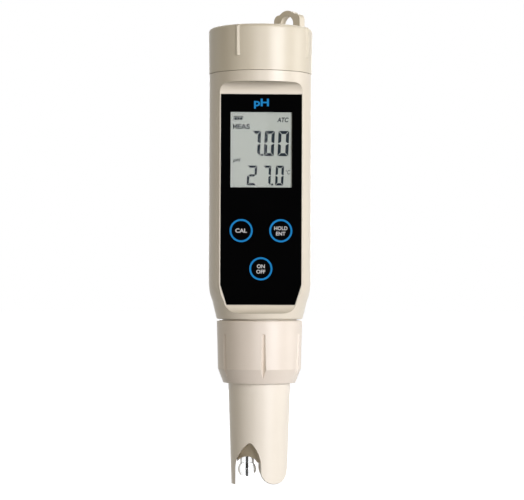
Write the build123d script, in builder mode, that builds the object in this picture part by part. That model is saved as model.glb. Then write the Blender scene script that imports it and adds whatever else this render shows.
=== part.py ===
from build123d import *
import os

# A pocket pH tester, in millimetres. It stands upright: +Z runs from the probe's tip to the cap,
# the display faces -Y, and the origin is on the axis, level with the tips of the probe's guard.

os.makedirs("parts", exist_ok=True)

# Driving dimensions: lengths along the axis
probe_length = 38.8
collar_length = 23.9
collar_gap = 0.5
body_length = 94.2
cap_gap = 0.15
cap_side_height = 17.4
cap_dome_rise = 1.0
lug_height = 8.1

# Clearances between pieces: a plain gap, a sliding gap and a gap between faces that nearly touch
plain_gap = 0.3
slide_gap = 0.1
touch_gap = 0.05

# Probe: a tapered guard tube with a flange and a plug
guard_tip_radius = 10.6
guard_top_radius = 11.95
guard_bore_radius = 8.5
flange_radius = 14.2
flange_thickness = 3.2
plug_radius = 10.7
plug_length = 8.2
seal_groove_radius = 9.3
seal_groove_width = 2.0
seal_groove_drop = 3.0
seal_cord_radius = 0.8

# The window and the finger at the guard's tip, as seen from the front
window_left = -9.2
window_right = -0.3
window_spring_height = 6.5
window_peak_height = 15.6
window_peak_x = -3.9
window_flare_start = 6.5
window_flare_angle = 10.0
window_peak_round = 0.8
window_overcut = 1.0

# Electrode inside the guard
end_plug_bottom = 8.6
end_plug_length = 9.4
gel_length = 34.0
potting_length = 7.8
bulb_x = -4.65
bulb_radius = 3.5
bulb_height = 5.4
glass_wall = 0.45
stem_radius = 2.65
stem_in_potting = 4.0
bulb_pocket_radius = 4.1
bulb_pocket_height = 6.7
inner_wire_radius = 0.5
inner_wire_bottom = 2.6
junction_radius = 1.5
junction_x = 5.2
junction_y = -2.6
junction_drop = 0.2
thermistor_radius = 1.6
thermistor_x = 4.4
thermistor_y = 3.2
thermistor_drop = 3.0
reference_wire_radius = 0.4
reference_wire_x = 1.5
reference_wire_y = -3.2
reference_wire_rise = 8.0
probe_board_thickness = 1.2
pin_count = 5
pin_radius = 0.4
pin_circle_radius = 4.0
pin_engagement = 2.4

# Collar: a screw ring with grip grooves
collar_tip_radius = 13.95
collar_bevel_radius = 16.0
collar_top_radius = 16.5
collar_bevel_height = 5.3
collar_edge = 0.5
collar_lip_length = 10.7
groove_count = 6
groove_angle = -86.5
groove_top_drop = 5.2
groove_bottom_rise = 1.7
groove_top_width = 1.3
groove_bottom_width = 2.3
groove_top_depth = 0.6
groove_top_radius = 15.75
groove_bottom_radius = 14.6

# Body: a tapered tube with a flat front, a spigot for the collar and a neck for the cap
body_radius = 19.65
body_foot_radius = 16.55
body_waist_radius = 18.2
body_waist_rise = 6.8
body_taper_height = 14.3
body_edge = 0.6
body_wall = 1.8
spigot_radius = 14.3
spigot_bore_radius = 11.0
spigot_length = 10.0
floor_thickness = 2.0
neck_radius = 16.9
neck_bore_radius = 14.9
neck_height = 8.8
bay_depth = 7.0
shelf_width = 1.3
shelf_thickness = 1.8

# The recess in the front: a flat between two coves
flat_depth = 11.6
flat_wall = 2.8
cove_radius = 3.7
recess_foot_margin = 2.3
recess_top_margin = 4.1

# Front panel
overlay_width = 30.8
overlay_height = 80.2
overlay_top_margin = 4.35
overlay_thickness = 0.5
overlay_pocket_depth = 0.4
overlay_corner_width = 2.4
overlay_corner_height = 7.6
plate_margin = 1.0
plate_thickness = 1.6
opening_margin = 1.0
window_width = 23.4
window_height = 28.7
window_top_drop = 6.8
window_thickness = 0.45

# Keys
key_spacing = 15.1
key_row_drop = 52.0
power_key_drop = 66.5
key_radius = 4.75
key_side_gap = 0.2
key_flange_radius = 5.4
key_flange_thickness = 0.5
key_stem_radius = 2.4
key_travel = 0.35

# Display
glass_side = 0.9
glass_thickness = 1.0
glass_ledge = 2.0
reflector_thickness = 0.3
reflector_margin = 0.2
frame_wall = 0.45
frame_shelf = 1.2
zebra_thickness = 1.6

# Main board and what it carries
board_width = 26.0
board_depth = 5.0
board_thickness = 1.2
board_top_gap = 1.0
boss_radius = 1.4
boss_x = 11.0
top_boss_x = 7.0
boss_foot_rise = 6.5
screw_radius = 0.7
screw_length = 3.6
screw_head_radius = 1.3
screw_head_height = 0.9
switch_side = 6.0
switch_height = 2.5
switch_button_radius = 1.7
switch_button_height = 0.55
controller_side = 10.0
controller_height = 1.4
amplifier_length = 5.0
amplifier_width = 4.0
amplifier_height = 1.5
amplifier_place = (-5.0, 92.0)
crystal_length = 10.5
crystal_width = 4.2
crystal_height = 3.4
crystal_place = (0.0, 108.0)
capacitor_radius = 2.5
capacitor_height = 5.4
capacitor_places = [(7.0, 92.0), (7.0, 84.0)]
chip_part_length = 2.0
chip_part_width = 1.25
chip_part_height = 0.8
chip_part_spacing = 4.2
chip_part_columns = 5
chip_part_rows = 2
chip_part_height_on_board = 76.0
socket_radius = 6.5
socket_flange_radius = 8.0
socket_flange_thickness = 1.2
socket_height = 4.2

# Battery bay
tray_rim_thickness = 1.4
tray_floor = 1.3
tray_clearance = 0.15
cell_radius = 5.8
cell_length = 5.4
cell_count = 4
contact_thickness = 0.4
contact_width = 6.0
contact_top_rise = 12.6
spring_bow = 1.2
strip_width = 2.4
strip_thickness = 0.3
strip_overlap = 6.0
strip_arm_reach = 6.0

# Cap: a screw lid with ribs and a lug
cap_foot_radius = 19.8
cap_top_radius = 20.0
cap_edge = 1.4
cap_bore_radius = 17.2
cap_pocket_radius = 15.0
cap_roof = 3.6
gasket_thickness = 1.0
gasket_inner_radius = 15.1
rib_count = 4
rib_angle = -118.0
rib_height = 0.5
rib_width = 2.2
rib_foot_rise = 5.6
rib_root_radius = 19.0
lug_angle = 46.0
lug_distance = 15.3
lug_thickness = 2.9
lug_eye_radius = 3.3
lug_arch_wall = 2.1
lug_shoulder_width = 13.4
lug_shoulder_drop = 1.5
lug_shoulder_round = 2.4
lug_root_depth = 2.0

# Heights that follow from the lengths
collar_top = probe_length + collar_length
body_foot = collar_top + collar_gap
body_top = body_foot + body_length
cap_foot = body_top + cap_gap
cap_rim = cap_foot + cap_side_height
cap_peak = cap_rim + cap_dome_rise
lug_top = cap_peak + lug_height
neck_top = body_top + neck_height
spigot_foot = body_foot - spigot_length
collar_seat = probe_length + collar_lip_length
flange_foot = collar_seat + slide_gap
flange_top = flange_foot + flange_thickness
plug_top = flange_top + plug_length
seal_height = plug_top - seal_groove_drop - seal_groove_width / 2
gel_foot = end_plug_bottom + end_plug_length
potting_foot = gel_foot + gel_length
potting_top = potting_foot + potting_length
body_floor = body_foot + floor_thickness
bay_floor = body_top - bay_depth
cavity_top = bay_floor - shelf_thickness
socket_top = body_foot + socket_height
recess_foot = body_foot + recess_foot_margin
recess_top = body_top - recess_top_margin

# Depths of the front stack: y is minus the distance in front of the axis
flat_y = -flat_depth
plate_front_y = flat_y + overlay_pocket_depth
overlay_front_y = plate_front_y - overlay_thickness
plate_back_y = plate_front_y + plate_thickness
cavity_front_y = flat_y + flat_wall
board_front_y = -board_depth
board_back_y = board_front_y + board_thickness

# Places on the front
overlay_top = recess_top - overlay_top_margin
overlay_foot = overlay_top - overlay_height
window_middle = (0, overlay_top - window_top_drop - window_height / 2)
key_places = {
    "cal_key": (-key_spacing / 2, overlay_top - key_row_drop),
    "hold_key": (key_spacing / 2, overlay_top - key_row_drop),
    "power_key": (0, overlay_top - power_key_drop),
}

# Key depths: the flange sits just behind the overlay, and the tip stops short of its switch
key_flange_y = plate_front_y + touch_gap
key_pocket_depth = touch_gap + key_flange_thickness + key_travel + touch_gap
switch_tip_y = board_front_y - switch_height - switch_button_height
key_tip_y = switch_tip_y - key_travel - touch_gap

# Display sizes: the glass fills the face plate's opening behind the window
glass_width = window_width + 2 * glass_side
glass_height = window_height + 2 * glass_side
glass_front_y = plate_front_y
glass_middle_y = glass_front_y + glass_thickness
glass_back_y = glass_middle_y + glass_thickness
reflector_back_y = glass_back_y + reflector_thickness
frame_width = glass_width + 2 * touch_gap + 2 * frame_wall
frame_height = glass_height + 2 * touch_gap + 2 * frame_wall
frame_top = window_middle[1] + frame_height / 2

# The board is fixed at four bosses, two above the display's frame and two near the foot
boss_places = [
    (side * boss_distance, boss_height)
    for side in (-1, 1)
    for boss_distance, boss_height in (
        (boss_x, overlay_foot + boss_foot_rise),
        (top_boss_x, frame_top + touch_gap + boss_radius),
    )
]


def front_plane(y):
    """A sketch plane at this y whose x is X and whose y is Z. Extruding goes towards the front."""
    return Plane(origin=(0, y, 0), x_dir=(1, 0, 0), z_dir=(0, -1, 0))


def panel_outline(margin):
    """The overlay's outline, with its two lower corners cut off, shrunk by a margin."""
    half_width = overlay_width / 2
    with BuildSketch() as outline:
        with BuildLine():
            Polyline(
                (-half_width, overlay_top),
                (half_width, overlay_top),
                (half_width, overlay_foot + overlay_corner_height),
                (half_width - overlay_corner_width, overlay_foot),
                (-half_width + overlay_corner_width, overlay_foot),
                (-half_width, overlay_foot + overlay_corner_height),
                close=True,
            )
        make_face()
        if margin:
            offset(amount=-margin, kind=Kind.INTERSECTION, mode=Mode.REPLACE)
    return outline.sketch


def bay_outline(radius, front_wall):
    """The battery bay's outline: a circle whose front is cut straight, parallel to the flat."""
    with BuildSketch() as outline:
        Circle(radius)
        with Locations((0, flat_y + front_wall)):
            Rectangle(2 * radius, 2 * radius, align=(Align.CENTER, Align.MAX), mode=Mode.SUBTRACT)
    return outline.sketch


def body_profile(wall, foot, top):
    """Half of the body's section between two heights, drawn inside its wall."""
    waist = (body_waist_radius - wall, body_foot + body_waist_rise)
    shoulder = (body_radius - wall, body_foot + body_taper_height)
    Line((0, foot), (body_foot_radius - wall, foot))
    Line((body_foot_radius - wall, foot), waist)
    TangentArc(shoulder, waist, tangent=(0, -1))
    Line(shoulder, (body_radius - wall, top))
    Line((body_radius - wall, top), (0, top))
    Line((0, top), (0, foot))


def finish(piece, name):
    """Label a finished piece and write its file."""
    piece.part.label = name
    export_step(piece.part, "parts/" + name + ".step")


# Housing: revolved outside, hollow inside, with its front cut flat between two coves
with BuildPart() as cavity:
    with BuildSketch(Plane.XZ):
        with BuildLine():
            body_profile(body_wall, body_floor, cavity_top)
        make_face()
    revolve(axis=Axis.Z)
    with BuildSketch(Plane.XY.offset(body_floor)):
        with Locations((0, cavity_front_y)):
            Rectangle(2 * body_radius, body_radius, align=(Align.CENTER, Align.MAX))
    extrude(amount=body_length, mode=Mode.SUBTRACT)

with BuildPart() as housing:
    with BuildSketch(Plane.XZ):
        with BuildLine():
            body_profile(0, body_foot, body_top)
        make_face()
    revolve(axis=Axis.Z)
    fillet(housing.edges().filter_by(GeomType.CIRCLE).sort_by(Axis.Z)[0], radius=body_edge)
    with BuildSketch(Plane.XY.offset(spigot_foot)):
        Circle(spigot_radius)
    extrude(amount=spigot_length + floor_thickness)
    with BuildSketch(Plane.XY.offset(body_top)):
        Circle(neck_radius)
    extrude(amount=neck_height)
    with BuildSketch(Plane.YZ) as recess:
        with Locations((flat_y, (recess_foot + recess_top) / 2)):
            Rectangle(body_radius, recess_top - recess_foot, align=(Align.MAX, Align.CENTER))
        fillet(recess.vertices().group_by(Axis.X)[-1], radius=cove_radius)
    extrude(amount=body_radius, both=True, mode=Mode.SUBTRACT)
    # The overlay's pocket, the face plate's seat and the opening behind it
    with BuildSketch(front_plane(overlay_front_y)):
        add(panel_outline(-slide_gap))
    extrude(amount=-overlay_thickness, mode=Mode.SUBTRACT)
    with BuildSketch(front_plane(plate_front_y)):
        add(panel_outline(plate_margin - slide_gap))
    extrude(amount=-plate_thickness, mode=Mode.SUBTRACT)
    with BuildSketch(front_plane(plate_back_y)):
        add(panel_outline(plate_margin + opening_margin))
    extrude(amount=-flat_wall, mode=Mode.SUBTRACT)
    add(cavity.part, mode=Mode.SUBTRACT)
    # The spigot's bore, the socket's hole and the battery bay with its shelf
    with BuildSketch(Plane.XY.offset(spigot_foot)):
        Circle(spigot_bore_radius)
    extrude(amount=spigot_length, mode=Mode.SUBTRACT)
    with BuildSketch(Plane.XY.offset(body_foot)):
        Circle(socket_radius + touch_gap)
    extrude(amount=floor_thickness, mode=Mode.SUBTRACT)
    with BuildSketch(Plane.XY.offset(bay_floor)):
        add(bay_outline(neck_bore_radius, body_wall))
    extrude(amount=bay_depth, mode=Mode.SUBTRACT)
    with BuildSketch(Plane.XY.offset(body_top)):
        Circle(neck_bore_radius)
    extrude(amount=neck_height, mode=Mode.SUBTRACT)
    with BuildSketch(Plane.XY.offset(cavity_top)):
        add(bay_outline(neck_bore_radius - shelf_width, flat_wall))
    extrude(amount=shelf_thickness, mode=Mode.SUBTRACT)
finish(housing, "housing")

# Face plate: it closes the front opening and carries the display, the keys and the board
with BuildPart() as face_plate:
    with BuildSketch(front_plane(plate_front_y)):
        add(panel_outline(plate_margin))
        with Locations(window_middle):
            Rectangle(glass_width + 2 * touch_gap, glass_height + 2 * touch_gap, mode=Mode.SUBTRACT)
    extrude(amount=-plate_thickness)
    with BuildSketch(front_plane(plate_back_y)):
        with Locations(*boss_places):
            Circle(boss_radius)
    extrude(amount=plate_back_y - board_front_y)
    with BuildSketch(front_plane(plate_front_y)):
        with Locations(*key_places.values()):
            Circle(key_flange_radius + key_side_gap)
    extrude(amount=-key_pocket_depth, mode=Mode.SUBTRACT)
    with BuildSketch(front_plane(plate_front_y)):
        with Locations(*key_places.values()):
            Circle(key_stem_radius + key_side_gap)
    extrude(amount=-plate_thickness, mode=Mode.SUBTRACT)
    with BuildSketch(front_plane(board_front_y)):
        with Locations(*boss_places):
            Circle(screw_radius + touch_gap)
    extrude(amount=screw_length, mode=Mode.SUBTRACT)
finish(face_plate, "face_plate")

# Overlay: the black front sheet, with openings for the window and the keys
with BuildPart() as face_overlay:
    with BuildSketch(front_plane(plate_front_y)):
        add(panel_outline(0))
        with Locations(window_middle):
            Rectangle(window_width, window_height, mode=Mode.SUBTRACT)
        with Locations(*key_places.values()):
            Circle(key_radius + key_side_gap, mode=Mode.SUBTRACT)
    extrude(amount=overlay_thickness)
finish(face_overlay, "face_overlay")

with BuildPart() as lcd_window:
    with BuildSketch(front_plane(plate_front_y)):
        with Locations(window_middle):
            Rectangle(window_width, window_height)
    extrude(amount=window_thickness)
finish(lcd_window, "lcd_window")

# Keys: a round head, a flange held behind the overlay and a stem that meets its switch
for key_name, key_place in key_places.items():
    with BuildPart() as key:
        with BuildSketch(front_plane(overlay_front_y)):
            with Locations(key_place):
                Circle(key_radius)
        extrude(amount=overlay_front_y - key_flange_y)
        with BuildSketch(front_plane(key_flange_y)):
            with Locations(key_place):
                Circle(key_flange_radius)
        extrude(amount=-key_flange_thickness)
        with BuildSketch(front_plane(key_flange_y)):
            with Locations(key_place):
                Circle(key_stem_radius)
        extrude(amount=key_flange_y - key_tip_y)
    finish(key, key_name)

# Display: two sheets of glass with a contact ledge at each end, a reflector and a frame
with BuildPart() as lcd_glass:
    with BuildSketch(front_plane(glass_front_y)):
        with Locations(window_middle):
            Rectangle(glass_width, glass_height)
    extrude(amount=-glass_thickness)
    with BuildSketch(front_plane(glass_middle_y)):
        with Locations(window_middle):
            Rectangle(glass_width, glass_height - 2 * glass_ledge)
    extrude(amount=-glass_thickness)
finish(lcd_glass, "lcd_glass")

with BuildPart() as lcd_reflector:
    with BuildSketch(front_plane(glass_back_y)):
        with Locations(window_middle):
            Rectangle(glass_width - 2 * reflector_margin, glass_height - 2 * glass_ledge)
    extrude(amount=-reflector_thickness)
finish(lcd_reflector, "lcd_reflector")

with BuildPart() as lcd_frame:
    with BuildSketch(front_plane(plate_back_y)):
        with Locations(window_middle):
            Rectangle(frame_width, frame_height)
    extrude(amount=plate_back_y - board_front_y)
    with BuildSketch(front_plane(plate_back_y)):
        with Locations(window_middle):
            Rectangle(glass_width + 2 * touch_gap, glass_height + 2 * touch_gap)
    extrude(amount=plate_back_y - reflector_back_y, mode=Mode.SUBTRACT)
    with BuildSketch(front_plane(plate_back_y)):
        with Locations(window_middle):
            Rectangle(glass_width - 2 * frame_shelf, glass_height + 2 * touch_gap)
    extrude(amount=plate_back_y - board_front_y, mode=Mode.SUBTRACT)
finish(lcd_frame, "lcd_frame")

with BuildPart() as zebra_strips:
    with BuildSketch(front_plane(glass_middle_y)):
        with Locations(window_middle):
            with GridLocations(0, glass_height - glass_ledge, 1, 2):
                Rectangle(glass_width - 2 * frame_shelf - 2 * touch_gap, zebra_thickness)
    extrude(amount=glass_middle_y - board_front_y)
finish(zebra_strips, "zebra_strips")

# Main board, its screws and the parts soldered on it
with BuildPart() as main_board:
    with BuildSketch(front_plane(board_front_y)):
        with Locations((0, socket_top)):
            Rectangle(board_width, cavity_top - board_top_gap - socket_top, align=(Align.CENTER, Align.MIN))
        chamfer(vertices().group_by(Axis.Y)[0], length=overlay_corner_width)
        with Locations(*boss_places):
            Circle(screw_radius + touch_gap, mode=Mode.SUBTRACT)
    extrude(amount=-board_thickness)
finish(main_board, "main_board")

with BuildPart() as board_screws:
    with BuildSketch(front_plane(board_back_y)):
        with Locations(*boss_places):
            Circle(screw_head_radius)
    extrude(amount=-screw_head_height)
    with BuildSketch(front_plane(board_back_y)):
        with Locations(*boss_places):
            Circle(screw_radius)
    extrude(amount=board_thickness + screw_length - touch_gap)
finish(board_screws, "board_screws")

with BuildPart() as key_switches:
    with BuildSketch(front_plane(board_front_y)):
        with Locations(*key_places.values()):
            Rectangle(switch_side, switch_side)
    extrude(amount=switch_height)
    with BuildSketch(front_plane(board_front_y - switch_height)):
        with Locations(*key_places.values()):
            Circle(switch_button_radius)
    extrude(amount=switch_button_height)
finish(key_switches, "key_switches")

with BuildPart() as microcontroller:
    with BuildSketch(front_plane(board_back_y)):
        with Locations(window_middle):
            Rectangle(controller_side, controller_side)
    extrude(amount=-controller_height)
finish(microcontroller, "microcontroller")

with BuildPart() as amplifier_chip:
    with BuildSketch(front_plane(board_back_y)):
        with Locations(amplifier_place):
            Rectangle(amplifier_length, amplifier_width)
    extrude(amount=-amplifier_height)
finish(amplifier_chip, "amplifier_chip")

with BuildPart() as quartz_crystal:
    with BuildSketch(front_plane(board_back_y)):
        with Locations(crystal_place):
            SlotOverall(crystal_length, crystal_width)
    extrude(amount=-crystal_height)
finish(quartz_crystal, "quartz_crystal")

with BuildPart() as capacitors:
    with BuildSketch(front_plane(board_back_y)):
        with Locations(*capacitor_places):
            Circle(capacitor_radius)
    extrude(amount=-capacitor_height)
finish(capacitors, "capacitors")

with BuildPart() as chip_parts:
    with BuildSketch(front_plane(board_back_y)):
        with Locations((0, chip_part_height_on_board)):
            with GridLocations(chip_part_spacing, chip_part_spacing, chip_part_columns, chip_part_rows):
                Rectangle(chip_part_width, chip_part_length)
    extrude(amount=-chip_part_height)
finish(chip_parts, "chip_parts")

# Socket in the body's floor, with blind holes that take the probe's pins
with BuildPart() as pin_socket:
    with BuildSketch(Plane.XY.offset(body_foot)):
        Circle(socket_radius)
    extrude(amount=socket_height)
    with BuildSketch(Plane.XY.offset(body_floor)):
        Circle(socket_flange_radius)
    extrude(amount=socket_flange_thickness)
    with BuildSketch(Plane.XY.offset(body_foot)):
        with PolarLocations(pin_circle_radius, pin_count):
            Circle(pin_radius + slide_gap)
    extrude(amount=pin_engagement + plain_gap, mode=Mode.SUBTRACT)
finish(pin_socket, "pin_socket")

# Battery tray: a flat-fronted cup with a round rim and a trough for the cells
stack_half = cell_count * cell_length / 2
cell_height = bay_floor + tray_floor + cell_radius
contact_foot = bay_floor
left_contact_x = -stack_half - spring_bow - contact_thickness
right_contact_x = stack_half
with BuildPart() as battery_tray:
    with BuildSketch(Plane.XY.offset(bay_floor)):
        add(bay_outline(neck_bore_radius - tray_clearance, body_wall + tray_clearance))
    extrude(amount=neck_top - tray_rim_thickness - bay_floor)
    with BuildSketch(Plane.XY.offset(neck_top - tray_rim_thickness)):
        Circle(neck_bore_radius - tray_clearance)
    extrude(amount=tray_rim_thickness)
    with BuildSketch(Plane.YZ.offset(left_contact_x)):
        with Locations((0, cell_height)):
            Circle(cell_radius + touch_gap)
            Rectangle(2 * (cell_radius + touch_gap), neck_height + bay_depth,
                      align=(Align.CENTER, Align.MIN))
    extrude(amount=right_contact_x + contact_thickness - left_contact_x, mode=Mode.SUBTRACT)
    with BuildSketch(Plane.XY.offset(bay_floor)):
        for contact_x in (left_contact_x, right_contact_x):
            with Locations((contact_x, 0)):
                Rectangle(contact_thickness, contact_width, align=(Align.MIN, Align.CENTER))
    extrude(amount=contact_top_rise, mode=Mode.SUBTRACT)
finish(battery_tray, "battery_tray")

with BuildPart() as button_cells:
    for cell_number in range(cell_count):
        with BuildSketch(Plane.YZ.offset(-stack_half + cell_number * cell_length)):
            with Locations((0, cell_height)):
                Circle(cell_radius)
        extrude(amount=cell_length - touch_gap)
finish(button_cells, "button_cells")

with BuildPart() as battery_contact:
    with BuildSketch(Plane.YZ.offset(right_contact_x)):
        with Locations((0, contact_foot)):
            Rectangle(contact_width, contact_top_rise, align=(Align.CENTER, Align.MIN))
    extrude(amount=contact_thickness)
finish(battery_contact, "battery_contact")

# The other contact has a bowed tongue that presses the cells together
with BuildPart() as battery_spring:
    with BuildSketch(Plane.YZ.offset(left_contact_x)):
        with Locations((0, contact_foot)):
            Rectangle(contact_width, contact_top_rise, align=(Align.CENTER, Align.MIN))
    extrude(amount=contact_thickness)
    with BuildSketch(Plane.XZ):
        with BuildLine():
            tongue_x = left_contact_x + contact_thickness
            bow = ThreePointArc(
                (tongue_x, cell_height - cell_radius / 2),
                (-stack_half - touch_gap, cell_height),
                (tongue_x, cell_height + cell_radius / 2),
            )
            offset(bow, amount=-contact_thickness, side=Side.LEFT)
        make_face()
    extrude(amount=contact_width / 2, both=True)
finish(battery_spring, "battery_spring")

# Strips that join the battery contacts to the board
with BuildPart() as contact_strips:
    strip_foot = cavity_top - board_top_gap - strip_overlap
    strip_right = right_contact_x + contact_thickness
    for strip_x in (left_contact_x, strip_right - strip_width):
        with BuildSketch(front_plane(board_back_y)):
            with Locations((strip_x, strip_foot)):
                Rectangle(strip_width, bay_floor - strip_foot, align=(Align.MIN, Align.MIN))
        extrude(amount=-strip_thickness)
        with BuildSketch(Plane.XY.offset(bay_floor)):
            with Locations((strip_x, board_back_y)):
                Rectangle(strip_width, strip_arm_reach, align=(Align.MIN, Align.MIN))
        extrude(amount=-strip_thickness)
finish(contact_strips, "contact_strips")

# Cap gasket: a loose washer between the neck's end and the cap
gasket_foot = neck_top + slide_gap
gasket_top = gasket_foot + gasket_thickness
with BuildPart() as cap_gasket:
    with BuildSketch(Plane.XY.offset(gasket_foot)):
        Circle(cap_bore_radius - plain_gap)
        Circle(gasket_inner_radius, mode=Mode.SUBTRACT)
    extrude(amount=gasket_thickness)
finish(cap_gasket, "cap_gasket")


def dome_height(radius):
    """Height of the cap's domed top at a radius."""
    dome_radius = (cap_top_radius ** 2 + cap_dome_rise ** 2) / (2 * cap_dome_rise)
    return cap_peak - dome_radius + (dome_radius ** 2 - radius ** 2) ** 0.5


def cap_shape(growth):
    """The cap's outside as a solid, with its side grown outwards for the ribs."""
    side_foot = (cap_foot_radius + growth, cap_foot)
    side_top = (cap_top_radius + growth, dome_height(cap_top_radius + growth))
    with BuildPart() as shape:
        with BuildSketch(Plane.XZ):
            with BuildLine():
                Line((0, cap_foot), side_foot)
                Line(side_foot, side_top)
                ThreePointArc(side_top, (side_top[0] / 2, dome_height(side_top[0] / 2)), (0, cap_peak))
                Line((0, cap_peak), (0, cap_foot))
            make_face()
        revolve(axis=Axis.Z)
        circles = shape.edges().filter_by(GeomType.CIRCLE)
        fillet(circles.filter_by(lambda edge: abs(edge.center().Z - side_top[1]) < touch_gap), radius=cap_edge)
    return shape.part


# Cap: ribs run up its side and over its rounded edge, and the lug stands on its top
with BuildSketch() as rib_section:
    with BuildLine():
        Polyline(
            (rib_root_radius, -rib_width / 2),
            (cap_foot_radius, -rib_width / 2),
            (cap_top_radius + rib_height, 0),
            (cap_foot_radius, rib_width / 2),
            (rib_root_radius, rib_width / 2),
            close=True,
        )
    make_face()

with BuildPart() as cap_ribs:
    with BuildSketch(Plane.XY.offset(cap_foot + rib_foot_rise)):
        with PolarLocations(0, rib_count, start_angle=rib_angle):
            add(rib_section.sketch)
    extrude(amount=cap_side_height)
    add(cap_shape(rib_height), mode=Mode.INTERSECT)

eye_height = lug_top - lug_arch_wall - lug_eye_radius
lug_foot = cap_rim - lug_root_depth
lug_plane = Plane.XZ.rotated((0, 0, lug_angle + 90))
with BuildPart() as battery_cap:
    add(cap_shape(0))
    add(cap_ribs.part)
    with BuildSketch(Plane.XY.offset(cap_foot)):
        Circle(cap_bore_radius)
    extrude(amount=gasket_top + slide_gap - cap_foot, mode=Mode.SUBTRACT)
    with BuildSketch(Plane.XY.offset(cap_foot)):
        Circle(cap_pocket_radius)
    extrude(amount=cap_peak - cap_roof - cap_foot, mode=Mode.SUBTRACT)
    with BuildSketch(lug_plane.offset(lug_distance)) as lug:
        with Locations((0, lug_foot)):
            Rectangle(lug_shoulder_width, lug_top - lug_shoulder_drop - lug_foot,
                      align=(Align.CENTER, Align.MIN))
        fillet(lug.vertices().group_by(Axis.Y)[-1], radius=lug_shoulder_round)
        with Locations((0, eye_height)):
            Circle(lug_eye_radius + lug_arch_wall)
            Circle(lug_eye_radius, mode=Mode.SUBTRACT)
    extrude(amount=lug_thickness)
finish(battery_cap, "battery_cap")

# Collar: a ring with a seat for the probe's flange and six V grooves that widen downwards
collar_slope = (collar_top_radius - collar_bevel_radius) / (collar_length - collar_bevel_height)
groove_top = collar_top - groove_top_drop
groove_foot = probe_length + groove_bottom_rise


def groove_section(height, floor_radius, width):
    """A V pointing at the axis, with the given width at the collar's side and open beyond it."""
    side_radius = collar_top_radius - (collar_top - height) * collar_slope
    open_radius = side_radius + groove_top_depth
    open_half = width / 2 * (open_radius - floor_radius) / (side_radius - floor_radius)
    with BuildSketch(Plane.XY.offset(height)) as section:
        with BuildLine():
            Polyline((floor_radius, 0), (open_radius, open_half), (open_radius, -open_half), close=True)
        make_face()
    return section.sketch


with BuildPart() as groove:
    add(groove_section(groove_foot, groove_bottom_radius, groove_bottom_width))
    add(groove_section(groove_top, groove_top_radius, groove_top_width))
    loft()

with BuildPart() as collar:
    with BuildSketch(Plane.XZ):
        with BuildLine():
            Polyline(
                (0, probe_length),
                (collar_tip_radius, probe_length),
                (collar_bevel_radius, probe_length + collar_bevel_height),
                (collar_top_radius, collar_top),
                (0, collar_top),
                close=True,
            )
        make_face()
    revolve(axis=Axis.Z)
    fillet(collar.edges().filter_by(GeomType.CIRCLE).sort_by(Axis.Z)[-1], radius=collar_edge)
    with BuildSketch(Plane.XY.offset(probe_length)):
        Circle(guard_top_radius + plain_gap)
    extrude(amount=collar_length, mode=Mode.SUBTRACT)
    with BuildSketch(Plane.XY.offset(collar_seat)):
        Circle(spigot_radius + plain_gap)
    extrude(amount=collar_length, mode=Mode.SUBTRACT)
    with PolarLocations(0, groove_count, start_angle=groove_angle):
        add(groove.part, mode=Mode.SUBTRACT)
finish(collar, "collar")

# Probe guard: a tapered tube whose tip is cut away from front to back, leaving a blade and a finger
finger_round = (guard_tip_radius - window_right) / 2
with BuildPart() as window_cut:
    with BuildSketch(front_plane(0)) as window_shape:
        with BuildLine():
            left_spring = (window_left, window_spring_height)
            right_spring = (window_right, window_spring_height)
            peak = (window_peak_x, window_peak_height)
            Line((window_left, -window_overcut), left_spring)
            TangentArc(left_spring, peak, tangent=(0, 1))
            TangentArc(right_spring, peak, tangent=(0, 1))
            Line(right_spring, (window_right, finger_round))
            finger_tip = (window_right + finger_round, 0)
            TangentArc((window_right, finger_round), finger_tip, tangent=(0, -1))
            TangentArc(finger_tip, (guard_tip_radius, finger_round), tangent=(1, 0))
            Polyline(
                (guard_tip_radius, finger_round),
                (guard_top_radius + window_overcut, finger_round),
                (guard_top_radius + window_overcut, -window_overcut),
                (window_left, -window_overcut),
            )
        make_face()
        fillet(window_shape.vertices().group_by(Axis.Y)[-1], radius=window_peak_round)
    extrude(amount=guard_top_radius + window_overcut, both=True)
    with BuildSketch(front_plane(-window_flare_start)):
        add(window_shape.sketch_local)
    extrude(amount=guard_top_radius - window_flare_start + window_overcut, taper=-window_flare_angle)
    mirror(about=Plane.XZ)

with BuildPart() as probe_guard:
    with BuildSketch(Plane.XZ):
        with BuildLine():
            Polyline(
                (0, 0),
                (guard_tip_radius, 0),
                (guard_top_radius, probe_length),
                (guard_top_radius, flange_foot),
                (flange_radius, flange_foot),
                (flange_radius, flange_top),
                (plug_radius, flange_top),
                (plug_radius, seal_height - seal_groove_width / 2),
                (seal_groove_radius, seal_height - seal_groove_width / 2),
                (seal_groove_radius, seal_height + seal_groove_width / 2),
                (plug_radius, seal_height + seal_groove_width / 2),
                (plug_radius, plug_top),
                (0, plug_top),
                close=True,
            )
        make_face()
    revolve(axis=Axis.Z)
    with BuildSketch(Plane.XY):
        Circle(guard_bore_radius)
    extrude(amount=plug_top, mode=Mode.SUBTRACT)
    add(window_cut.part, mode=Mode.SUBTRACT)
finish(probe_guard, "probe_guard")

with BuildPart() as probe_seal:
    with Locations((0, 0, seal_height)):
        Torus(seal_groove_radius + seal_cord_radius, seal_cord_radius)
finish(probe_seal, "probe_seal")

# Electrode, from the tip up: the end plug, the gel and the potting, each with holes for what runs through
stem_top = potting_foot + stem_in_potting
junction_place = (junction_x, junction_y)
thermistor_place = (thermistor_x, thermistor_y)
wire_place = (reference_wire_x, reference_wire_y)

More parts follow.
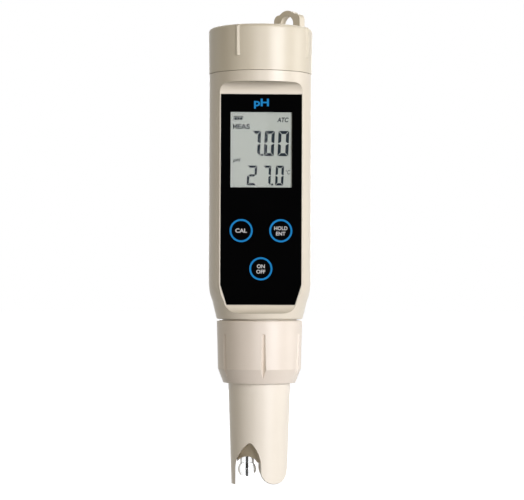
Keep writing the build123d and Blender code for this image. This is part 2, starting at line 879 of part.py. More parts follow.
with BuildPart() as end_plug:
    with BuildSketch(Plane.XY.offset(end_plug_bottom)):
        Circle(guard_bore_radius - touch_gap)
        with Locations((bulb_x, 0)):
            Circle(stem_radius + touch_gap, mode=Mode.SUBTRACT)
        with Locations(junction_place):
            Circle(junction_radius, mode=Mode.SUBTRACT)
        with Locations(thermistor_place):
            Circle(thermistor_radius + touch_gap, mode=Mode.SUBTRACT)
    extrude(amount=end_plug_length)
    with BuildSketch(front_plane(0)):
        with Locations((bulb_x, bulb_pocket_height)):
            Circle(bulb_pocket_radius)
    extrude(amount=guard_bore_radius, both=True, mode=Mode.SUBTRACT)
finish(end_plug, "end_plug")

with BuildPart() as reference_gel:
    with BuildSketch(Plane.XY.offset(gel_foot)):
        Circle(guard_bore_radius - slide_gap)
        with Locations((bulb_x, 0)):
            Circle(stem_radius + touch_gap, mode=Mode.SUBTRACT)
        with Locations(thermistor_place):
            Circle(thermistor_radius + touch_gap, mode=Mode.SUBTRACT)
    extrude(amount=gel_length)
    with BuildSketch(Plane.XY.offset(gel_foot + reference_wire_rise)):
        with Locations(wire_place):
            Circle(reference_wire_radius + touch_gap)
    extrude(amount=gel_length, mode=Mode.SUBTRACT)
finish(reference_gel, "reference_gel")

with BuildPart() as probe_potting:
    with BuildSketch(Plane.XY.offset(potting_foot)):
        Circle(guard_bore_radius - touch_gap)
        with Locations((bulb_x, 0)):
            Circle(inner_wire_radius + touch_gap, mode=Mode.SUBTRACT)
        with Locations(thermistor_place):
            Circle(thermistor_radius + touch_gap, mode=Mode.SUBTRACT)
        with Locations(wire_place):
            Circle(reference_wire_radius + touch_gap, mode=Mode.SUBTRACT)
    extrude(amount=potting_length)
    with BuildSketch(Plane.XY.offset(potting_foot)):
        with Locations((bulb_x, 0)):
            Circle(stem_radius + touch_gap)
    extrude(amount=stem_in_potting, mode=Mode.SUBTRACT)
finish(probe_potting, "probe_potting")

with BuildPart() as glass_bulb:
    with Locations((bulb_x, 0, bulb_height)):
        Sphere(bulb_radius)
        Cylinder(stem_radius, stem_top - bulb_height, align=(Align.CENTER, Align.CENTER, Align.MIN))
        Sphere(bulb_radius - glass_wall, mode=Mode.SUBTRACT)
        Cylinder(stem_radius - glass_wall, stem_top - bulb_height,
                 align=(Align.CENTER, Align.CENTER, Align.MIN), mode=Mode.SUBTRACT)
finish(glass_bulb, "glass_bulb")

with BuildPart() as inner_wire:
    with BuildSketch(Plane.XY.offset(inner_wire_bottom)):
        with Locations((bulb_x, 0)):
            Circle(inner_wire_radius)
    extrude(amount=potting_top - inner_wire_bottom)
finish(inner_wire, "inner_wire")

with BuildPart() as reference_junction:
    with BuildSketch(Plane.XY.offset(end_plug_bottom - junction_drop)):
        with Locations(junction_place):
            Circle(junction_radius)
    extrude(amount=junction_drop + end_plug_length)
finish(reference_junction, "reference_junction")

with BuildPart() as reference_wire:
    with BuildSketch(Plane.XY.offset(gel_foot + reference_wire_rise)):
        with Locations(wire_place):
            Circle(reference_wire_radius)
    extrude(amount=potting_top - gel_foot - reference_wire_rise)
finish(reference_wire, "reference_wire")

with BuildPart() as temperature_probe:
    with Locations((*thermistor_place, end_plug_bottom - thermistor_drop + thermistor_radius)):
        Sphere(thermistor_radius)
        Cylinder(thermistor_radius, potting_top - end_plug_bottom + thermistor_drop - thermistor_radius,
                 align=(Align.CENTER, Align.CENTER, Align.MIN))
finish(temperature_probe, "temperature_probe")

with BuildPart() as probe_board:
    with BuildSketch(Plane.XY.offset(potting_top)):
        Circle(guard_bore_radius - slide_gap)
        with PolarLocations(pin_circle_radius, pin_count):
            Circle(pin_radius, mode=Mode.SUBTRACT)
    extrude(amount=probe_board_thickness)
finish(probe_board, "probe_board")

with BuildPart() as contact_pins:
    with BuildSketch(Plane.XY.offset(potting_top)):
        with PolarLocations(pin_circle_radius, pin_count):
            Circle(pin_radius)
    extrude(amount=body_foot + pin_engagement - potting_top)
finish(contact_pins, "contact_pins")
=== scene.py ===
import math

import bpy
from mathutils import Matrix, Vector


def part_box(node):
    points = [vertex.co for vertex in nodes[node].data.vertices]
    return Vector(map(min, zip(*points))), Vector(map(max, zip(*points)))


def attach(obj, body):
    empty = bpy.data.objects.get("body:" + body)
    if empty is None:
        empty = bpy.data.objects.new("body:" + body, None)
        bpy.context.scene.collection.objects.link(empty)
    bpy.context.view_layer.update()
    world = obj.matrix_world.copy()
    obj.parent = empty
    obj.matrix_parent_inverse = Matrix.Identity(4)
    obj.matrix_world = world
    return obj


# A pocket pH tester in its studio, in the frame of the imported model: +Z runs from the probe's tip to
# the cap, and the display faces -Y. Lengths are in metres, but those of prints and threads are in
# millimetres.

MM = 0.001

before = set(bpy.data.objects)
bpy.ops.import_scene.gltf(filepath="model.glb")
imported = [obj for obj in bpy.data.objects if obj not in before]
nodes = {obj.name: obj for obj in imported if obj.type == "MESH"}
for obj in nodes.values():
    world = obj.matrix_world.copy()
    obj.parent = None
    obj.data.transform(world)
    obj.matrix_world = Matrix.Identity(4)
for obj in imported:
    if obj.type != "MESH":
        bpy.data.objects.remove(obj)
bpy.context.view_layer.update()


def linked(name, data):
    """A new object with this data, added to the scene."""
    added = bpy.data.objects.new(name, data)
    bpy.context.scene.collection.objects.link(added)
    return added


def srgb(red, green, blue):
    """A colour given in 0-255 screen values, as the linear colour that shows as it."""
    channels = []
    for value in (red, green, blue):
        share = value / 255
        channels.append(share / 12.92 if share <= 0.04045 else ((share + 0.055) / 1.055) ** 2.4)
    return (*channels, 1.0)


# Camera: as far away, as high and as turned as the photograph's
camera_distance = 775 * MM
camera_height = 75.8 * MM
camera_turn = math.radians(2.0)
camera_pan = math.radians(0.066)
camera_tilt = math.radians(1.036)
camera_roll = math.radians(-0.22)
image_width = 524
focal_pixels = 2007
sensor_width = 36

camera_data = bpy.data.cameras.new("camera")
camera_data.sensor_width = sensor_width
camera_data.lens = sensor_width * focal_pixels / image_width
camera_data.clip_start = 10 * MM
camera = linked("camera", camera_data)
camera.location = (
    -camera_distance * math.sin(camera_turn),
    -camera_distance * math.cos(camera_turn),
    camera_height,
)
camera.rotation_euler = (math.pi / 2 + camera_tilt, camera_roll, -camera_turn - camera_pan)
bpy.context.scene.camera = camera
bpy.context.scene.view_settings.view_transform = "Standard"

# Lamps: a large soft one to the right of the camera, weaker ones at the side, the front and the left, and
# one behind the tester. Each has its name, azimuth, elevation, width, height, power and colour. Azimuth 0
# is the front, and it grows towards the right.
lamp_distance = 900 * MM
lamp_target = Vector((0, 0, 90 * MM))
lamps = [
    ("key_light", 35, 3, 0.5, 0.65, 8.8, (0.94, 0.945, 1.0)),
    ("side_light", 88, 5, 0.3, 0.7, 2.2, (0.98, 0.985, 1.0)),
    ("front_light", -4, 0, 0.2, 0.5, 1.6, (0.97, 0.955, 1.0)),
    ("left_light", -112, 5, 0.2, 0.7, 0.4, (1.0, 0.95, 0.84)),
    ("back_light", 176, 14, 0.4, 0.5, 4.0, (0.97, 0.98, 1.0)),
]
for name, azimuth, elevation, width, height, power, color in lamps:
    lamp_data = bpy.data.lights.new(name, "AREA")
    lamp_data.shape = "RECTANGLE"
    lamp_data.size = width
    lamp_data.size_y = height
    lamp_data.energy = power
    lamp_data.color = color
    turn = math.radians(azimuth)
    rise = math.radians(elevation)
    direction = Vector((
        math.sin(turn) * math.cos(rise),
        -math.cos(turn) * math.cos(rise),
        math.sin(rise),
    ))
    lamp = linked(name, lamp_data)
    lamp.location = lamp_target + direction * lamp_distance
    lamp.rotation_euler = direction.to_track_quat("Z", "Y").to_euler()


# Materials: noise scales are in features per metre, and a ramp uses the middle of the noise's range
ramp_start = 0.3
ramp_end = 0.7
gloss_spread = 0.05
bevel_samples = 6


class Material:
    """A Principled material and short ways to add nodes to it."""

    def __init__(self, name):
        self.material = bpy.data.materials.new(name)
        self.material.use_nodes = True
        self.tree = self.material.node_tree
        self.shader = self.tree.nodes["Principled BSDF"]
        self.output = self.tree.nodes["Material Output"]

    def node(self, kind, **settings):
        """A new node with these settings."""
        added = self.tree.nodes.new(kind)
        for key, value in settings.items():
            setattr(added, key, value)
        return added

    def link(self, source, target):
        """Joins an output to an input."""
        self.tree.links.new(source, target)

    def noise(self, scale, detail=2.0, roughness=0.5):
        """Noise over the object's own coordinates."""
        place = self.node("ShaderNodeTexCoord")
        texture = self.node("ShaderNodeTexNoise")
        texture.inputs["Scale"].default_value = scale
        texture.inputs["Detail"].default_value = detail
        texture.inputs["Roughness"].default_value = roughness
        self.link(place.outputs["Object"], texture.inputs["Vector"])
        return texture.outputs["Fac"]

    def ramp(self, source, low, high):
        """A value or a colour that runs from low to high as the source rises."""
        spread = self.node("ShaderNodeMapRange")
        spread.inputs["From Min"].default_value = ramp_start
        spread.inputs["From Max"].default_value = ramp_end
        self.link(source, spread.inputs["Value"])
        if not isinstance(low, tuple):
            spread.inputs["To Min"].default_value = low
            spread.inputs["To Max"].default_value = high
            return spread.outputs["Result"]
        # The node's colours are its inputs 6 and 7 and its output 2
        mix = self.node("ShaderNodeMix", data_type="RGBA")
        self.link(spread.outputs["Result"], mix.inputs["Factor"])
        mix.inputs[6].default_value = low
        mix.inputs[7].default_value = high
        return mix.outputs[2]

    def color(self, source, low, high):
        """Sets the colour, between two, by the source."""
        self.link(self.ramp(source, low, high), self.shader.inputs["Base Color"])

    def gloss(self, source, low, high):
        """Sets the roughness, between two, by the source."""
        self.link(self.ramp(source, low, high), self.shader.inputs["Roughness"])

    def bump(self, height, distance, edge):
        """Bump from a height, over normals that are rounded at sharp edges by the edge radius."""
        bevel = self.node("ShaderNodeBevel", samples=bevel_samples)
        bevel.inputs["Radius"].default_value = edge
        relief = self.node("ShaderNodeBump")
        relief.inputs["Strength"].default_value = 1.0
        relief.inputs["Distance"].default_value = distance
        self.link(height, relief.inputs["Height"])
        self.link(bevel.outputs["Normal"], relief.inputs["Normal"])
        self.link(relief.outputs["Normal"], self.shader.inputs["Normal"])

    def set(self, **values):
        """Sets inputs of the shader to plain values."""
        for key, value in values.items():
            self.shader.inputs[key.replace("_", " ")].default_value = value

    def give(self, *names):
        """Puts the material on these nodes."""
        for name in names:
            slots = nodes[name].data.materials
            slots.clear()
            slots.append(self.material)


def darker(color, share):
    """The colour with this share of its light."""
    return tuple(channel * share for channel in color[:3]) + (1,)


blotch_scale = 60


def plastic(name, dark, light, roughness, grain=9000, grain_depth=0.004 * MM, edge=0.15 * MM):
    """Moulded plastic: a fine spark-eroded grain, faint blotches and slightly uneven gloss."""
    made = Material(name)
    made.color(made.noise(blotch_scale, detail=3.0), dark, light)
    grains = made.noise(grain, roughness=0.6)
    made.gloss(grains, roughness - gloss_spread, roughness + gloss_spread)
    made.bump(grains, grain_depth, edge)
    return made


# Shell plastics: name, darker and lighter colour, sheen and node
shell_roughness = 0.36
shell_parts = [
    ("shell_plastic", (225, 215, 197), (229, 219, 201), 0.75, "housing"),
    ("cap_plastic", (218, 208, 187), (222, 212, 191), 0.7, "battery_cap"),
    # The collar's and the guard's colours are lighter than the housing's: painted light, making up for the
    # lamps lighting the lower parts less
    ("collar_plastic_painted_light", (233, 221, 207), (237, 225, 211), 0.75, "collar"),
    ("guard_plastic_painted_light", (239, 230, 215), (243, 234, 219), 0.75, "probe_guard"),
]
shell_materials = {}
for name, dark, light, sheen, node_name in shell_parts:
    made = plastic(name, srgb(*dark), srgb(*light), shell_roughness)
    made.set(Specular_IOR_Level=sheen)
    made.give(node_name)
    shell_materials[node_name] = made

# Black film on the front sheet and on the keys: name, roughness, edge radius and nodes
film_dark = (0.0006, 0.0006, 0.0007, 1)
film_light = (0.001, 0.001, 0.0011, 1)
film_grain = 14000
film_grain_depth = 0.002 * MM
film_sheen = 0.005
films = [
    ("overlay_film", 0.45, 0.05 * MM, ["face_overlay"]),
    ("key_film", 0.42, 0.1 * MM, ["cal_key", "hold_key", "power_key"]),
]
for name, roughness, edge, names in films:
    made = plastic(name, film_dark, film_light, roughness, film_grain, film_grain_depth, edge)
    made.set(Specular_IOR_Level=film_sheen)
    made.give(*names)

# Other plastics, rubbers and resins: name, darker and lighter colour, roughness, grain and nodes
plastics = [
    ("carrier_plastic", (46, 46, 48), (54, 54, 56), 0.5, 9000, ["face_plate", "battery_tray", "pin_socket"]),
    ("frame_plastic", (222, 222, 218), (232, 232, 228), 0.45, 9000, ["lcd_frame"]),
    ("rubber", (26, 26, 26), (34, 34, 34), 0.75, 5000, ["cap_gasket", "probe_seal"]),
    ("zebra_rubber", (84, 84, 86), (98, 98, 100), 0.7, 5000, ["zebra_strips"]),
    ("chip_epoxy", (24, 24, 25), (32, 32, 33), 0.55, 12000, ["microcontroller", "amplifier_chip"]),
    ("plug_resin", (172, 160, 138), (184, 172, 150), 0.5, 6000, ["end_plug"]),
    ("reference_gel", (214, 216, 206), (224, 226, 218), 0.25, 2500, ["reference_gel"]),
    ("potting_resin", (30, 30, 32), (40, 40, 42), 0.3, 2500, ["probe_potting"]),
    ("reflector_sheet", (168, 174, 164), (178, 184, 174), 0.5, 12000, ["lcd_reflector"]),
]
for name, dark, light, roughness, grain, names in plastics:
    plastic(name, srgb(*dark), srgb(*light), roughness, grain=grain).give(*names)
ceramic = plastic("porous_ceramic", srgb(206, 202, 190), srgb(228, 224, 214), 0.85, grain_depth=0.03 * MM)
ceramic.give("reference_junction")

# Metals, drawn or plated: name, colour, roughness and nodes. Their fine lines run along Z.
metals = [
    ("plated_steel", (196, 196, 198), 0.28, [
        "board_screws", "key_switches", "battery_contact", "battery_spring", "contact_strips",
        "button_cells", "temperature_probe",
    ]),
    ("drawn_can", (208, 208, 210), 0.35, ["quartz_crystal", "capacitors", "chip_parts"]),
    ("gold_plate", (226, 184, 96), 0.25, ["contact_pins"]),
    ("coated_silver", (34, 32, 30), 0.6, ["inner_wire", "reference_wire"]),
]
metal_line_scale = 6000
metal_line_stretch = (1, 1, 0.05)
metal_line_depth = 0.002 * MM
metal_edge = 0.05 * MM
metal_gloss_low = 0.8
metal_gloss_high = 1.2
metal_blotch_scale = 400
metal_darkening = 0.9
for name, values, roughness, names in metals:
    made = Material(name)
    place = made.node("ShaderNodeTexCoord")
    stretch = made.node("ShaderNodeMapping")
    stretch.inputs["Scale"].default_value = metal_line_stretch
    lines = made.node("ShaderNodeTexNoise")
    lines.inputs["Scale"].default_value = metal_line_scale
    made.link(place.outputs["Object"], stretch.inputs["Vector"])
    made.link(stretch.outputs["Vector"], lines.inputs["Vector"])
    made.gloss(lines.outputs["Fac"], roughness * metal_gloss_low, roughness * metal_gloss_high)
    light = srgb(*values)
    made.color(made.noise(metal_blotch_scale), darker(light, metal_darkening), light)
    made.set(Metallic=1.0)
    made.bump(lines.outputs["Fac"], metal_line_depth, metal_edge)
    made.give(*names)

# Boards: solder mask with faint copper tracks under it
board = Material("solder_mask")
place = board.node("ShaderNodeTexCoord")
upright = board.node("ShaderNodeMapping")
upright.inputs["Rotation"].default_value = (math.pi / 2, 0, 0)
tracks = board.node("ShaderNodeTexBrick")
tracks.inputs["Scale"].default_value = 300
tracks.inputs["Mortar Size"].default_value = 0.06
tracks.inputs["Color1"].default_value = srgb(18, 78, 44)
tracks.inputs["Color2"].default_value = srgb(20, 84, 48)
tracks.inputs["Mortar"].default_value = srgb(34, 104, 62)
board.link(place.outputs["Object"], upright.inputs["Vector"])
board.link(upright.outputs["Vector"], tracks.inputs["Vector"])
board.link(tracks.outputs["Color"], board.shader.inputs["Base Color"])
board.gloss(board.noise(3000), 0.3, 0.4)
board.bump(tracks.outputs["Fac"], 0.02 * MM, edge=0.05 * MM)
board.give("main_board", "probe_board")

# Display glass: a grey-green reflective ground with the fine grain of its polariser
lcd_ground = Material("lcd_ground")
lcd_ground.color(lcd_ground.noise(16000, roughness=0.7), srgb(180, 187, 180), srgb(188, 194, 187))
lcd_ground.gloss(lcd_ground.noise(40), 0.5, 0.6)
lcd_ground.set(Specular_IOR_Level=0.2)
lcd_ground.give("lcd_glass")


def clear(name, tint, roughness, ior):
    """Clear glass or plastic that lets light through without darkening what is behind it."""
    made = Material(name)
    made.set(Transmission_Weight=1.0, IOR=ior)
    made.color(made.noise(200), tint, (1, 1, 1, 1))
    made.gloss(made.noise(3000), roughness * 0.5, roughness)
    rays = made.node("ShaderNodeLightPath")
    either = made.node("ShaderNodeMath", operation="MAXIMUM")
    through = made.node("ShaderNodeBsdfTransparent")
    mix = made.node("ShaderNodeMixShader")
    made.link(rays.outputs["Is Shadow Ray"], either.inputs[0])
    made.link(rays.outputs["Is Diffuse Ray"], either.inputs[1])
    made.link(either.outputs[0], mix.inputs["Fac"])
    made.link(made.shader.outputs["BSDF"], mix.inputs[1])
    made.link(through.outputs["BSDF"], mix.inputs[2])
    made.link(mix.outputs["Shader"], made.output.inputs["Surface"])
    return made


clear("window_plastic", (0.98, 0.985, 0.98, 1), 0.06, 1.2).give("lcd_window")
clear("bulb_glass", (0.97, 0.985, 0.99, 1), 0.02, 1.47).give("glass_bulb")


# Prints: thin sheets just in front of what carries them
print_gap = 0.02 * MM
ink_darkening = 0.92
ink_roughness = 0.5


def ink(name, light):
    """Printing ink with slightly uneven cover."""
    made = Material(name)
    made.color(made.noise(5000), darker(light, ink_darkening), light)
    made.gloss(made.noise(9000), ink_roughness - gloss_spread, ink_roughness + gloss_spread)
    made.set(Specular_IOR_Level=0.1)
    return made


blue_ink = ink("blue_ink", srgb(20, 132, 200))
white_ink = ink("white_ink", srgb(205, 205, 205))
lcd_ink = ink("lcd_segments", srgb(26, 36, 44))


def placed_print(name, curve, depth, body, material):
    """Turns a flat curve or text into a mesh that faces the front at this depth."""
    drawn = linked(name + "_outline", curve)
    bpy.context.view_layer.update()
    mesh = bpy.data.meshes.new_from_object(drawn.evaluated_get(bpy.context.evaluated_depsgraph_get()))
    bpy.data.objects.remove(drawn)
    mesh.name = name
    mesh.transform(Matrix.Translation((0, depth, 0)) @ Matrix.Rotation(math.pi / 2, 4, "X"))
    mesh.materials.clear()
    mesh.materials.append(material.material)
    piece = linked(name, mesh)
    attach(piece, body)
    return piece


def printed(name, outlines, depth, body, material):
    """A flat print from closed outlines of (x, z) points."""
    curve = bpy.data.curves.new(name, "CURVE")
    curve.dimensions = "2D"
    curve.fill_mode = "BOTH"
    for outline in outlines:
        spline = curve.splines.new("POLY")
        spline.points.add(len(outline) - 1)
        for point, (x, z) in zip(spline.points, outline):
            point.co = (x * MM, z * MM, 0, 1)
        spline.use_cyclic_u = True
    placed_print(name, curve, depth, body, material)


def text_print(name, words, middle, width, height, depth, body, material, bold, slant=0.0):
    """Words fitted into a width and height about their middle."""
    text = bpy.data.curves.new(name, "FONT")
    text.body = words
    text.align_x = "CENTER"
    text.offset = bold
    text.shear = slant
    text.fill_mode = "FRONT"
    piece = placed_print(name, text, 0, body, material)
    corners = [vertex.co for vertex in piece.data.vertices]
    low = Vector((min(c.x for c in corners), 0, min(c.z for c in corners)))
    high = Vector((max(c.x for c in corners), 0, max(c.z for c in corners)))
    scale_x = width * MM / (high.x - low.x)
    scale_z = height * MM / (high.z - low.z)
    for vertex in piece.data.vertices:
        vertex.co.x = middle[0] * MM + (vertex.co.x - (low.x + high.x) / 2) * scale_x
        vertex.co.z = middle[1] * MM + (vertex.co.z - (low.z + high.z) / 2) * scale_z
        vertex.co.y = depth


def circle(middle, radius):
    """A circle's outline."""
    count = 96
    return [
        (
            middle[0] + radius * math.cos(2 * math.pi * step / count),
            middle[1] + radius * math.sin(2 * math.pi * step / count),
        )
        for step in range(count)
    ]


def box_outline(left, foot, width, height):
    """A rectangle's outline."""
    return [(left, foot), (left + width, foot), (left + width, foot + height), (left, foot + height)]


# Keys: a ring on each, and its words
ring_outer = 4.4
ring_inner = 3.7
key_bodies = {"cal_key": "cal_button", "hold_key": "hold_button", "power_key": "power_button"}
key_boxes = {key_name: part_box(key_name) for key_name in key_bodies}
key_front = key_boxes["cal_key"][0].y - print_gap
key_middles = {
    key_name: ((low.x + high.x) / 2 / MM, (low.z + high.z) / 2 / MM)
    for key_name, (low, high) in key_boxes.items()
}
for key_name, middle in key_middles.items():
    printed(
        key_name + "_ring", [circle(middle, ring_outer), circle(middle, ring_inner)],
        key_front, key_bodies[key_name], blue_ink,
    )

# Each legend has its name, words, key, rise over the key's middle, width and height
legend_weight = 0.02
legends = [
    ("cal_legend", "CAL", "cal_key", 0.0, 4.4, 1.6),
    ("hold_legend", "HOLD", "hold_key", 0.95, 5.0, 1.45),
    ("enter_legend", "ENT", "hold_key", -1.1, 3.6, 1.4),
    ("on_legend", "ON", "power_key", 0.95, 3.0, 1.45),
    ("off_legend", "OFF", "power_key", -1.1, 3.4, 1.45),
]
for name, words, key_name, rise, width, height in legends:
    middle = (key_middles[key_name][0], key_middles[key_name][1] + rise)
    text_print(name, words, middle, width, height,
               key_front, key_bodies[key_name], white_ink, bold=legend_weight)

# The legend over the display
ph_drop = 3.6
ph_width = 5.7
ph_height = 3.8
ph_weight = 0.03
overlay_low, overlay_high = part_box("face_overlay")
text_print(
    "ph_legend", "pH", (0, overlay_high.z / MM - ph_drop), ph_width, ph_height,
    overlay_low.y - print_gap, "barrel", blue_ink, bold=ph_weight,
)

# Display content: its places and sizes are in the photograph's pixels, from the window's middle
window_low, window_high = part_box("lcd_window")
window_x = (window_low.x + window_high.x) / 2 / MM
window_z = (window_low.z + window_high.z) / 2 / MM
window_pixels = (260.7, 149.1)
pixel = 0.3805
lcd_front = window_high.y - print_gap / 2
digit_slant = math.tan(math.radians(2.5))
segment_gap = 0.12
segment_cut = 0.5
segment_notch = 0.2
segment_sets = {"0": "abcdef", "2": "abged", "7": "abc"}


def window_point(across, down):
    """A place on the window, from a pixel of the photograph."""
    return (window_x + (across - window_pixels[0]) * pixel, window_z - (down - window_pixels[1]) * pixel)


def digit(shape, left, foot, width, height, stroke):
    """The outlines of one seven-segment digit with mitred segment ends."""
    half = height / 2
    gap = stroke * segment_gap
    cut = stroke * segment_cut
    notch = half + gap + segment_notch * cut
    corner = half + gap + cut
    shoulder = height - stroke - gap
    right = width - gap
    # Bars a, g and d lie at the top, in the middle and at the foot. Above the middle b is on the right
    # and f on the left, and c and e mirror them below it.
    bars = {
        "a": [(gap, height), (right, height), (right - stroke, height - stroke),
              (gap + stroke, height - stroke)],
        "d": [(gap, 0), (right, 0), (right - stroke, stroke), (gap + stroke, stroke)],
        "g": [(gap + cut, half), (gap + 2 * cut, half + cut), (right - 2 * cut, half + cut),
              (right - cut, half), (right - 2 * cut, half - cut), (gap + 2 * cut, half - cut)],
        "b": [(width, height - gap), (width, half + gap), (width - cut, notch),
              (width - stroke, corner), (width - stroke, shoulder)],
        "c": [(width, gap), (width, half - gap), (width - cut, height - notch),
              (width - stroke, height - corner), (width - stroke, height - shoulder)],
        "f": [(0, height - gap), (0, half + gap), (cut, notch), (stroke, corner), (stroke, shoulder)],
        "e": [(0, gap), (0, half - gap), (cut, height - notch), (stroke, height - corner),
              (stroke, height - shoulder)],
    }
    return [
        [(left + x + z * digit_slant, foot + z) for x, z in bars[letter]] for letter in segment_sets[shape]
    ]


# Each row of digits: foot, height, stroke, dot's left edge and side, and shape, left edge and width of each
digit_rows = [
    (155.4, 25.3, 3.1, 260.2, 2.3, [("7", 250.6, 8.8), ("0", 263.2, 10.0), ("0", 276.9, 10.8)]),
    (184.8, 19.9, 2.4, 270.8, 1.9, [("2", 246.1, 9.8), ("7", 261.8, 8.2), ("0", 274.6, 8.2)]),
]
outlines = []
for foot_pixel, height, stroke, dot_left, dot_side, digits in digit_rows:
    for shape, left_pixel, width in digits:
        left, foot = window_point(left_pixel, foot_pixel)
        outlines += digit(shape, left, foot, width * pixel, height * pixel, stroke * pixel)
    left, foot = window_point(dot_left, foot_pixel)
    outlines.append(box_outline(left, foot, dot_side * pixel, dot_side * pixel))

# Battery sign: an outline with a nub and three bars
battery_left, battery_foot = window_point(232.9, 120.5)
battery_width = 3.7
battery_height = 1.95
battery_line = 0.26
nub_width = 0.45
nub_margin = 0.5
bar_count = 3
bar_width = 0.82
bar_spacing = 1.0
bar_margin = 0.42
inside_height = battery_height - 2 * battery_line
for x, z, width, height in (
    (0, 0, battery_width, battery_line),
    (0, battery_height - battery_line, battery_width, battery_line),
    (0, battery_line, battery_line, inside_height),
    (battery_width - battery_line, battery_line, battery_line, inside_height),
    (battery_width, nub_margin, nub_width, battery_height - 2 * nub_margin),
):
    outlines.append(box_outline(battery_left + x, battery_foot + z, width, height))
for bar in range(bar_count):
    bar_left = battery_left + bar_margin + bar * bar_spacing
    bar_foot = battery_foot + bar_margin
    outlines.append(box_outline(bar_left, bar_foot, bar_width, battery_height - 2 * bar_margin))
printed("lcd_digits", outlines, lcd_front, "barrel", lcd_ink)

# Words on the display: name, words, box in pixels (left, top, right, foot), slant and weight
lcd_words = [
    ("lcd_measure", "EAS", (236.9, 123.4, 249.2, 128.6), 0.0, 0.03),
    ("lcd_compensation", "ATC", (276.5, 116.6, 288.0, 121.4), 0.2, 0.03),
    ("lcd_ph", "pH", (232.3, 157.5, 240.0, 162.4), 0.2, 0.025),
    ("lcd_celsius", "°C", (285.4, 169.2, 289.6, 173.6), 0.1, 0.0),
]
for name, words, (left, top, right, foot), slant, bold in lcd_words:
    middle = window_point((left + right) / 2, (top + foot) / 2)
    text_print(name, words, middle, (right - left) * pixel, (foot - top) * pixel,
               lcd_front, "barrel", lcd_ink, bold=bold, slant=slant)

# The first letter of the upper word is drawn by itself, because the font's own one doesn't fill when bold
letter_left, letter_foot = window_point(232.3, 128.6)
letter_width = 1.6
letter_height = 1.95
letter_stem = 0.34
stem = letter_stem / letter_width
letter_shape = [
    (0, 0), (0, 1), (0.24, 1), (0.5, 0.52), (0.76, 1), (1, 1), (1, 0), (1 - stem, 0), (1 - stem, 0.55),
    (0.5, 0.12), (stem, 0.55), (stem, 0),
]
letter_outline = [(letter_left + x * letter_width, letter_foot + z * letter_height) for x, z in letter_shape]
printed("lcd_measure_m", [letter_outline], lcd_front, "barrel", lcd_ink)


# Screw threads: a low helical ridge on the neck and on the spigot, inside the clearance to the bores
thread_pitch = 3.0
thread_height = 0.22
thread_root = 0.1
thread_foot_width = 1.3
thread_crest_width = 0.6
thread_steps = 72
thread_fade_steps = 12
thread_corners = 4


def thread(name, radius, foot, top):
    """A right-handed ridge round the axis between two heights, fading out at both ends."""
    turns = (top - foot - thread_foot_width) / thread_pitch
    count = int(turns * thread_steps)
    points = []
    for step in range(count + 1):
        angle = 2 * math.pi * step / thread_steps
        height = foot + thread_foot_width / 2 + thread_pitch * step / thread_steps
        fade = min(1.0, step / thread_fade_steps, (count - step) / thread_fade_steps)
        crest = radius + thread_height * fade
        for distance, offset in (
            (radius - thread_root, -thread_foot_width / 2),
            (crest, -thread_crest_width / 2),
            (crest, thread_crest_width / 2),
            (radius - thread_root, thread_foot_width / 2),
        ):
            points.append((
                distance * math.cos(angle) * MM,
                distance * math.sin(angle) * MM,
                (height + offset) * MM,
            ))
    faces = []
    for step in range(count):
        for side in range(thread_corners):
            near = thread_corners * step + side
            next_near = thread_corners * step + (side + 1) % thread_corners
            faces.append((near, next_near, next_near + thread_corners, near + thread_corners))
    faces.append(tuple(reversed(range(thread_corners))))
    faces.append(tuple(range(thread_corners * count, thread_corners * (count + 1))))
    mesh = bpy.data.meshes.new(name)
    mesh.from_pydata(points, [], faces)
    mesh.validate()
    mesh.materials.append(shell_materials["housing"].material)
    piece = linked(name, mesh)
    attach(piece, "barrel")


# The threads' heights come from the pieces beside them
body_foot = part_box("pin_socket")[0].z / MM
body_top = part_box("battery_cap")[0].z / MM
neck_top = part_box("battery_tray")[1].z / MM
neck_radius = 16.9
spigot_radius = 14.3
spigot_length = 10.0
thread_end_margin = 0.8
thread_root_margin = 1.0
thread("neck_thread", neck_radius, body_top + thread_root_margin, neck_top - thread_end_margin)
thread("spigot_thread", spigot_radius, body_foot - spigot_length + thread_end_margin,
       body_foot - thread_root_margin)


# Floor: it shows white to the camera and lies below the lowered probe
floor_half = 6.0
floor_drop = 12 * MM
floor_mesh = bpy.data.meshes.new("floor")
floor_mesh.from_pydata(
    [(-floor_half, -floor_half, 0), (floor_half, -floor_half, 0), (floor_half, floor_half, 0),
     (-floor_half, floor_half, 0)],
    [], [(0, 1, 2, 3)],
)
floor = linked("floor", floor_mesh)
floor.location.z = -floor_drop
floor_paper = Material("floor_paper")
floor_paper.color(floor_paper.noise(300, detail=4.0), (0.30, 0.30, 0.30, 1), (0.32, 0.32, 0.32, 1))
floor_paper.set(Roughness=0.9, Specular_IOR_Level=0.0)
rays = floor_paper.node("ShaderNodeLightPath")
seen = floor_paper.node("ShaderNodeMath", operation="MAXIMUM")
seen_too = floor_paper.node("ShaderNodeMath", operation="MAXIMUM")
glow = floor_paper.node("ShaderNodeEmission")
glow.inputs["Color"].default_value = (0.97, 0.975, 1.0, 1)
glow.inputs["Strength"].default_value = 0.98
nothing = floor_paper.node("ShaderNodeEmission")
nothing.inputs["Strength"].default_value = 0.0
choose = floor_paper.node("ShaderNodeMixShader")
total = floor_paper.node("ShaderNodeAddShader")
for source, target in (
    (rays.outputs["Is Camera Ray"], seen.inputs[0]),
    (rays.outputs["Is Glossy Ray"], seen.inputs[1]),
    (seen.outputs[0], seen_too.inputs[0]),
    (rays.outputs["Is Transmission Ray"], seen_too.inputs[1]),
    (seen_too.outputs[0], choose.inputs["Fac"]),
    (nothing.outputs["Emission"], choose.inputs[1]),
    (glow.outputs["Emission"], choose.inputs[2]),
    (choose.outputs["Shader"], total.inputs[0]),
    (floor_paper.shader.outputs["BSDF"], total.inputs[1]),
    (total.outputs["Shader"], floor_paper.output.inputs["Surface"]),
):
    floor_paper.link(source, target)
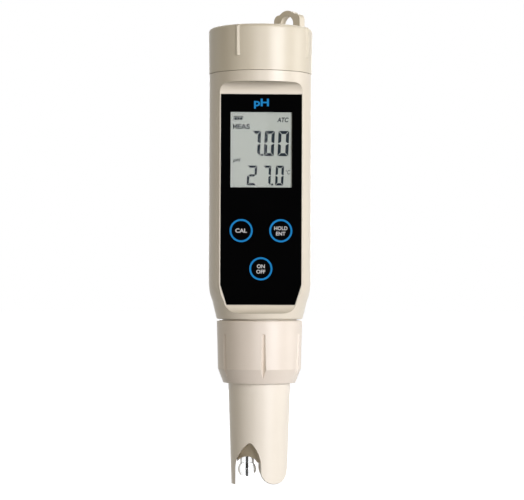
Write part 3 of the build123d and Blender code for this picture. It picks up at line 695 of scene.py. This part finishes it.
floor_mesh.materials.append(floor_paper.material)

# Surroundings: white to the camera, warm and dim to the surfaces, and in reflections white behind the
# tester and dim in front of it
world = bpy.data.worlds.new("studio")
world.use_nodes = True
bpy.context.scene.world = world
sky = world.node_tree
sky.nodes.clear()
world_rays = sky.nodes.new("ShaderNodeLightPath")
world_place = sky.nodes.new("ShaderNodeTexCoord")
world_axes = sky.nodes.new("ShaderNodeSeparateXYZ")
behind = sky.nodes.new("ShaderNodeMapRange")
behind.inputs["From Min"].default_value = -0.2
behind.inputs["From Max"].default_value = 0.3
behind.inputs["To Min"].default_value = 0.12
behind.inputs["To Max"].default_value = 1.0
ambient = sky.nodes.new("ShaderNodeBackground")
ambient.inputs["Color"].default_value = (1.0, 0.83, 0.46, 1)
ambient.inputs["Strength"].default_value = 0.19
white = sky.nodes.new("ShaderNodeBackground")
white.inputs["Color"].default_value = (1, 1, 1, 1)
reflected = sky.nodes.new("ShaderNodeBackground")
reflected.inputs["Color"].default_value = (1, 1, 1, 1)
mirrored = sky.nodes.new("ShaderNodeMath")
mirrored.operation = "MAXIMUM"
unseen = sky.nodes.new("ShaderNodeMixShader")
every_ray = sky.nodes.new("ShaderNodeMixShader")
world_output = sky.nodes.new("ShaderNodeOutputWorld")
for source, target in (
    (world_place.outputs["Generated"], world_axes.inputs["Vector"]),
    (world_axes.outputs["Y"], behind.inputs["Value"]),
    (behind.outputs["Result"], reflected.inputs["Strength"]),
    (world_rays.outputs["Is Glossy Ray"], mirrored.inputs[0]),
    (world_rays.outputs["Is Transmission Ray"], mirrored.inputs[1]),
    (mirrored.outputs[0], unseen.inputs["Fac"]),
    (ambient.outputs["Background"], unseen.inputs[1]),
    (reflected.outputs["Background"], unseen.inputs[2]),
    (world_rays.outputs["Is Camera Ray"], every_ray.inputs["Fac"]),
    (unseen.outputs["Shader"], every_ray.inputs[1]),
    (white.outputs["Background"], every_ray.inputs[2]),
    (every_ray.outputs["Shader"], world_output.inputs["Surface"]),
):
    sky.links.new(source, target)
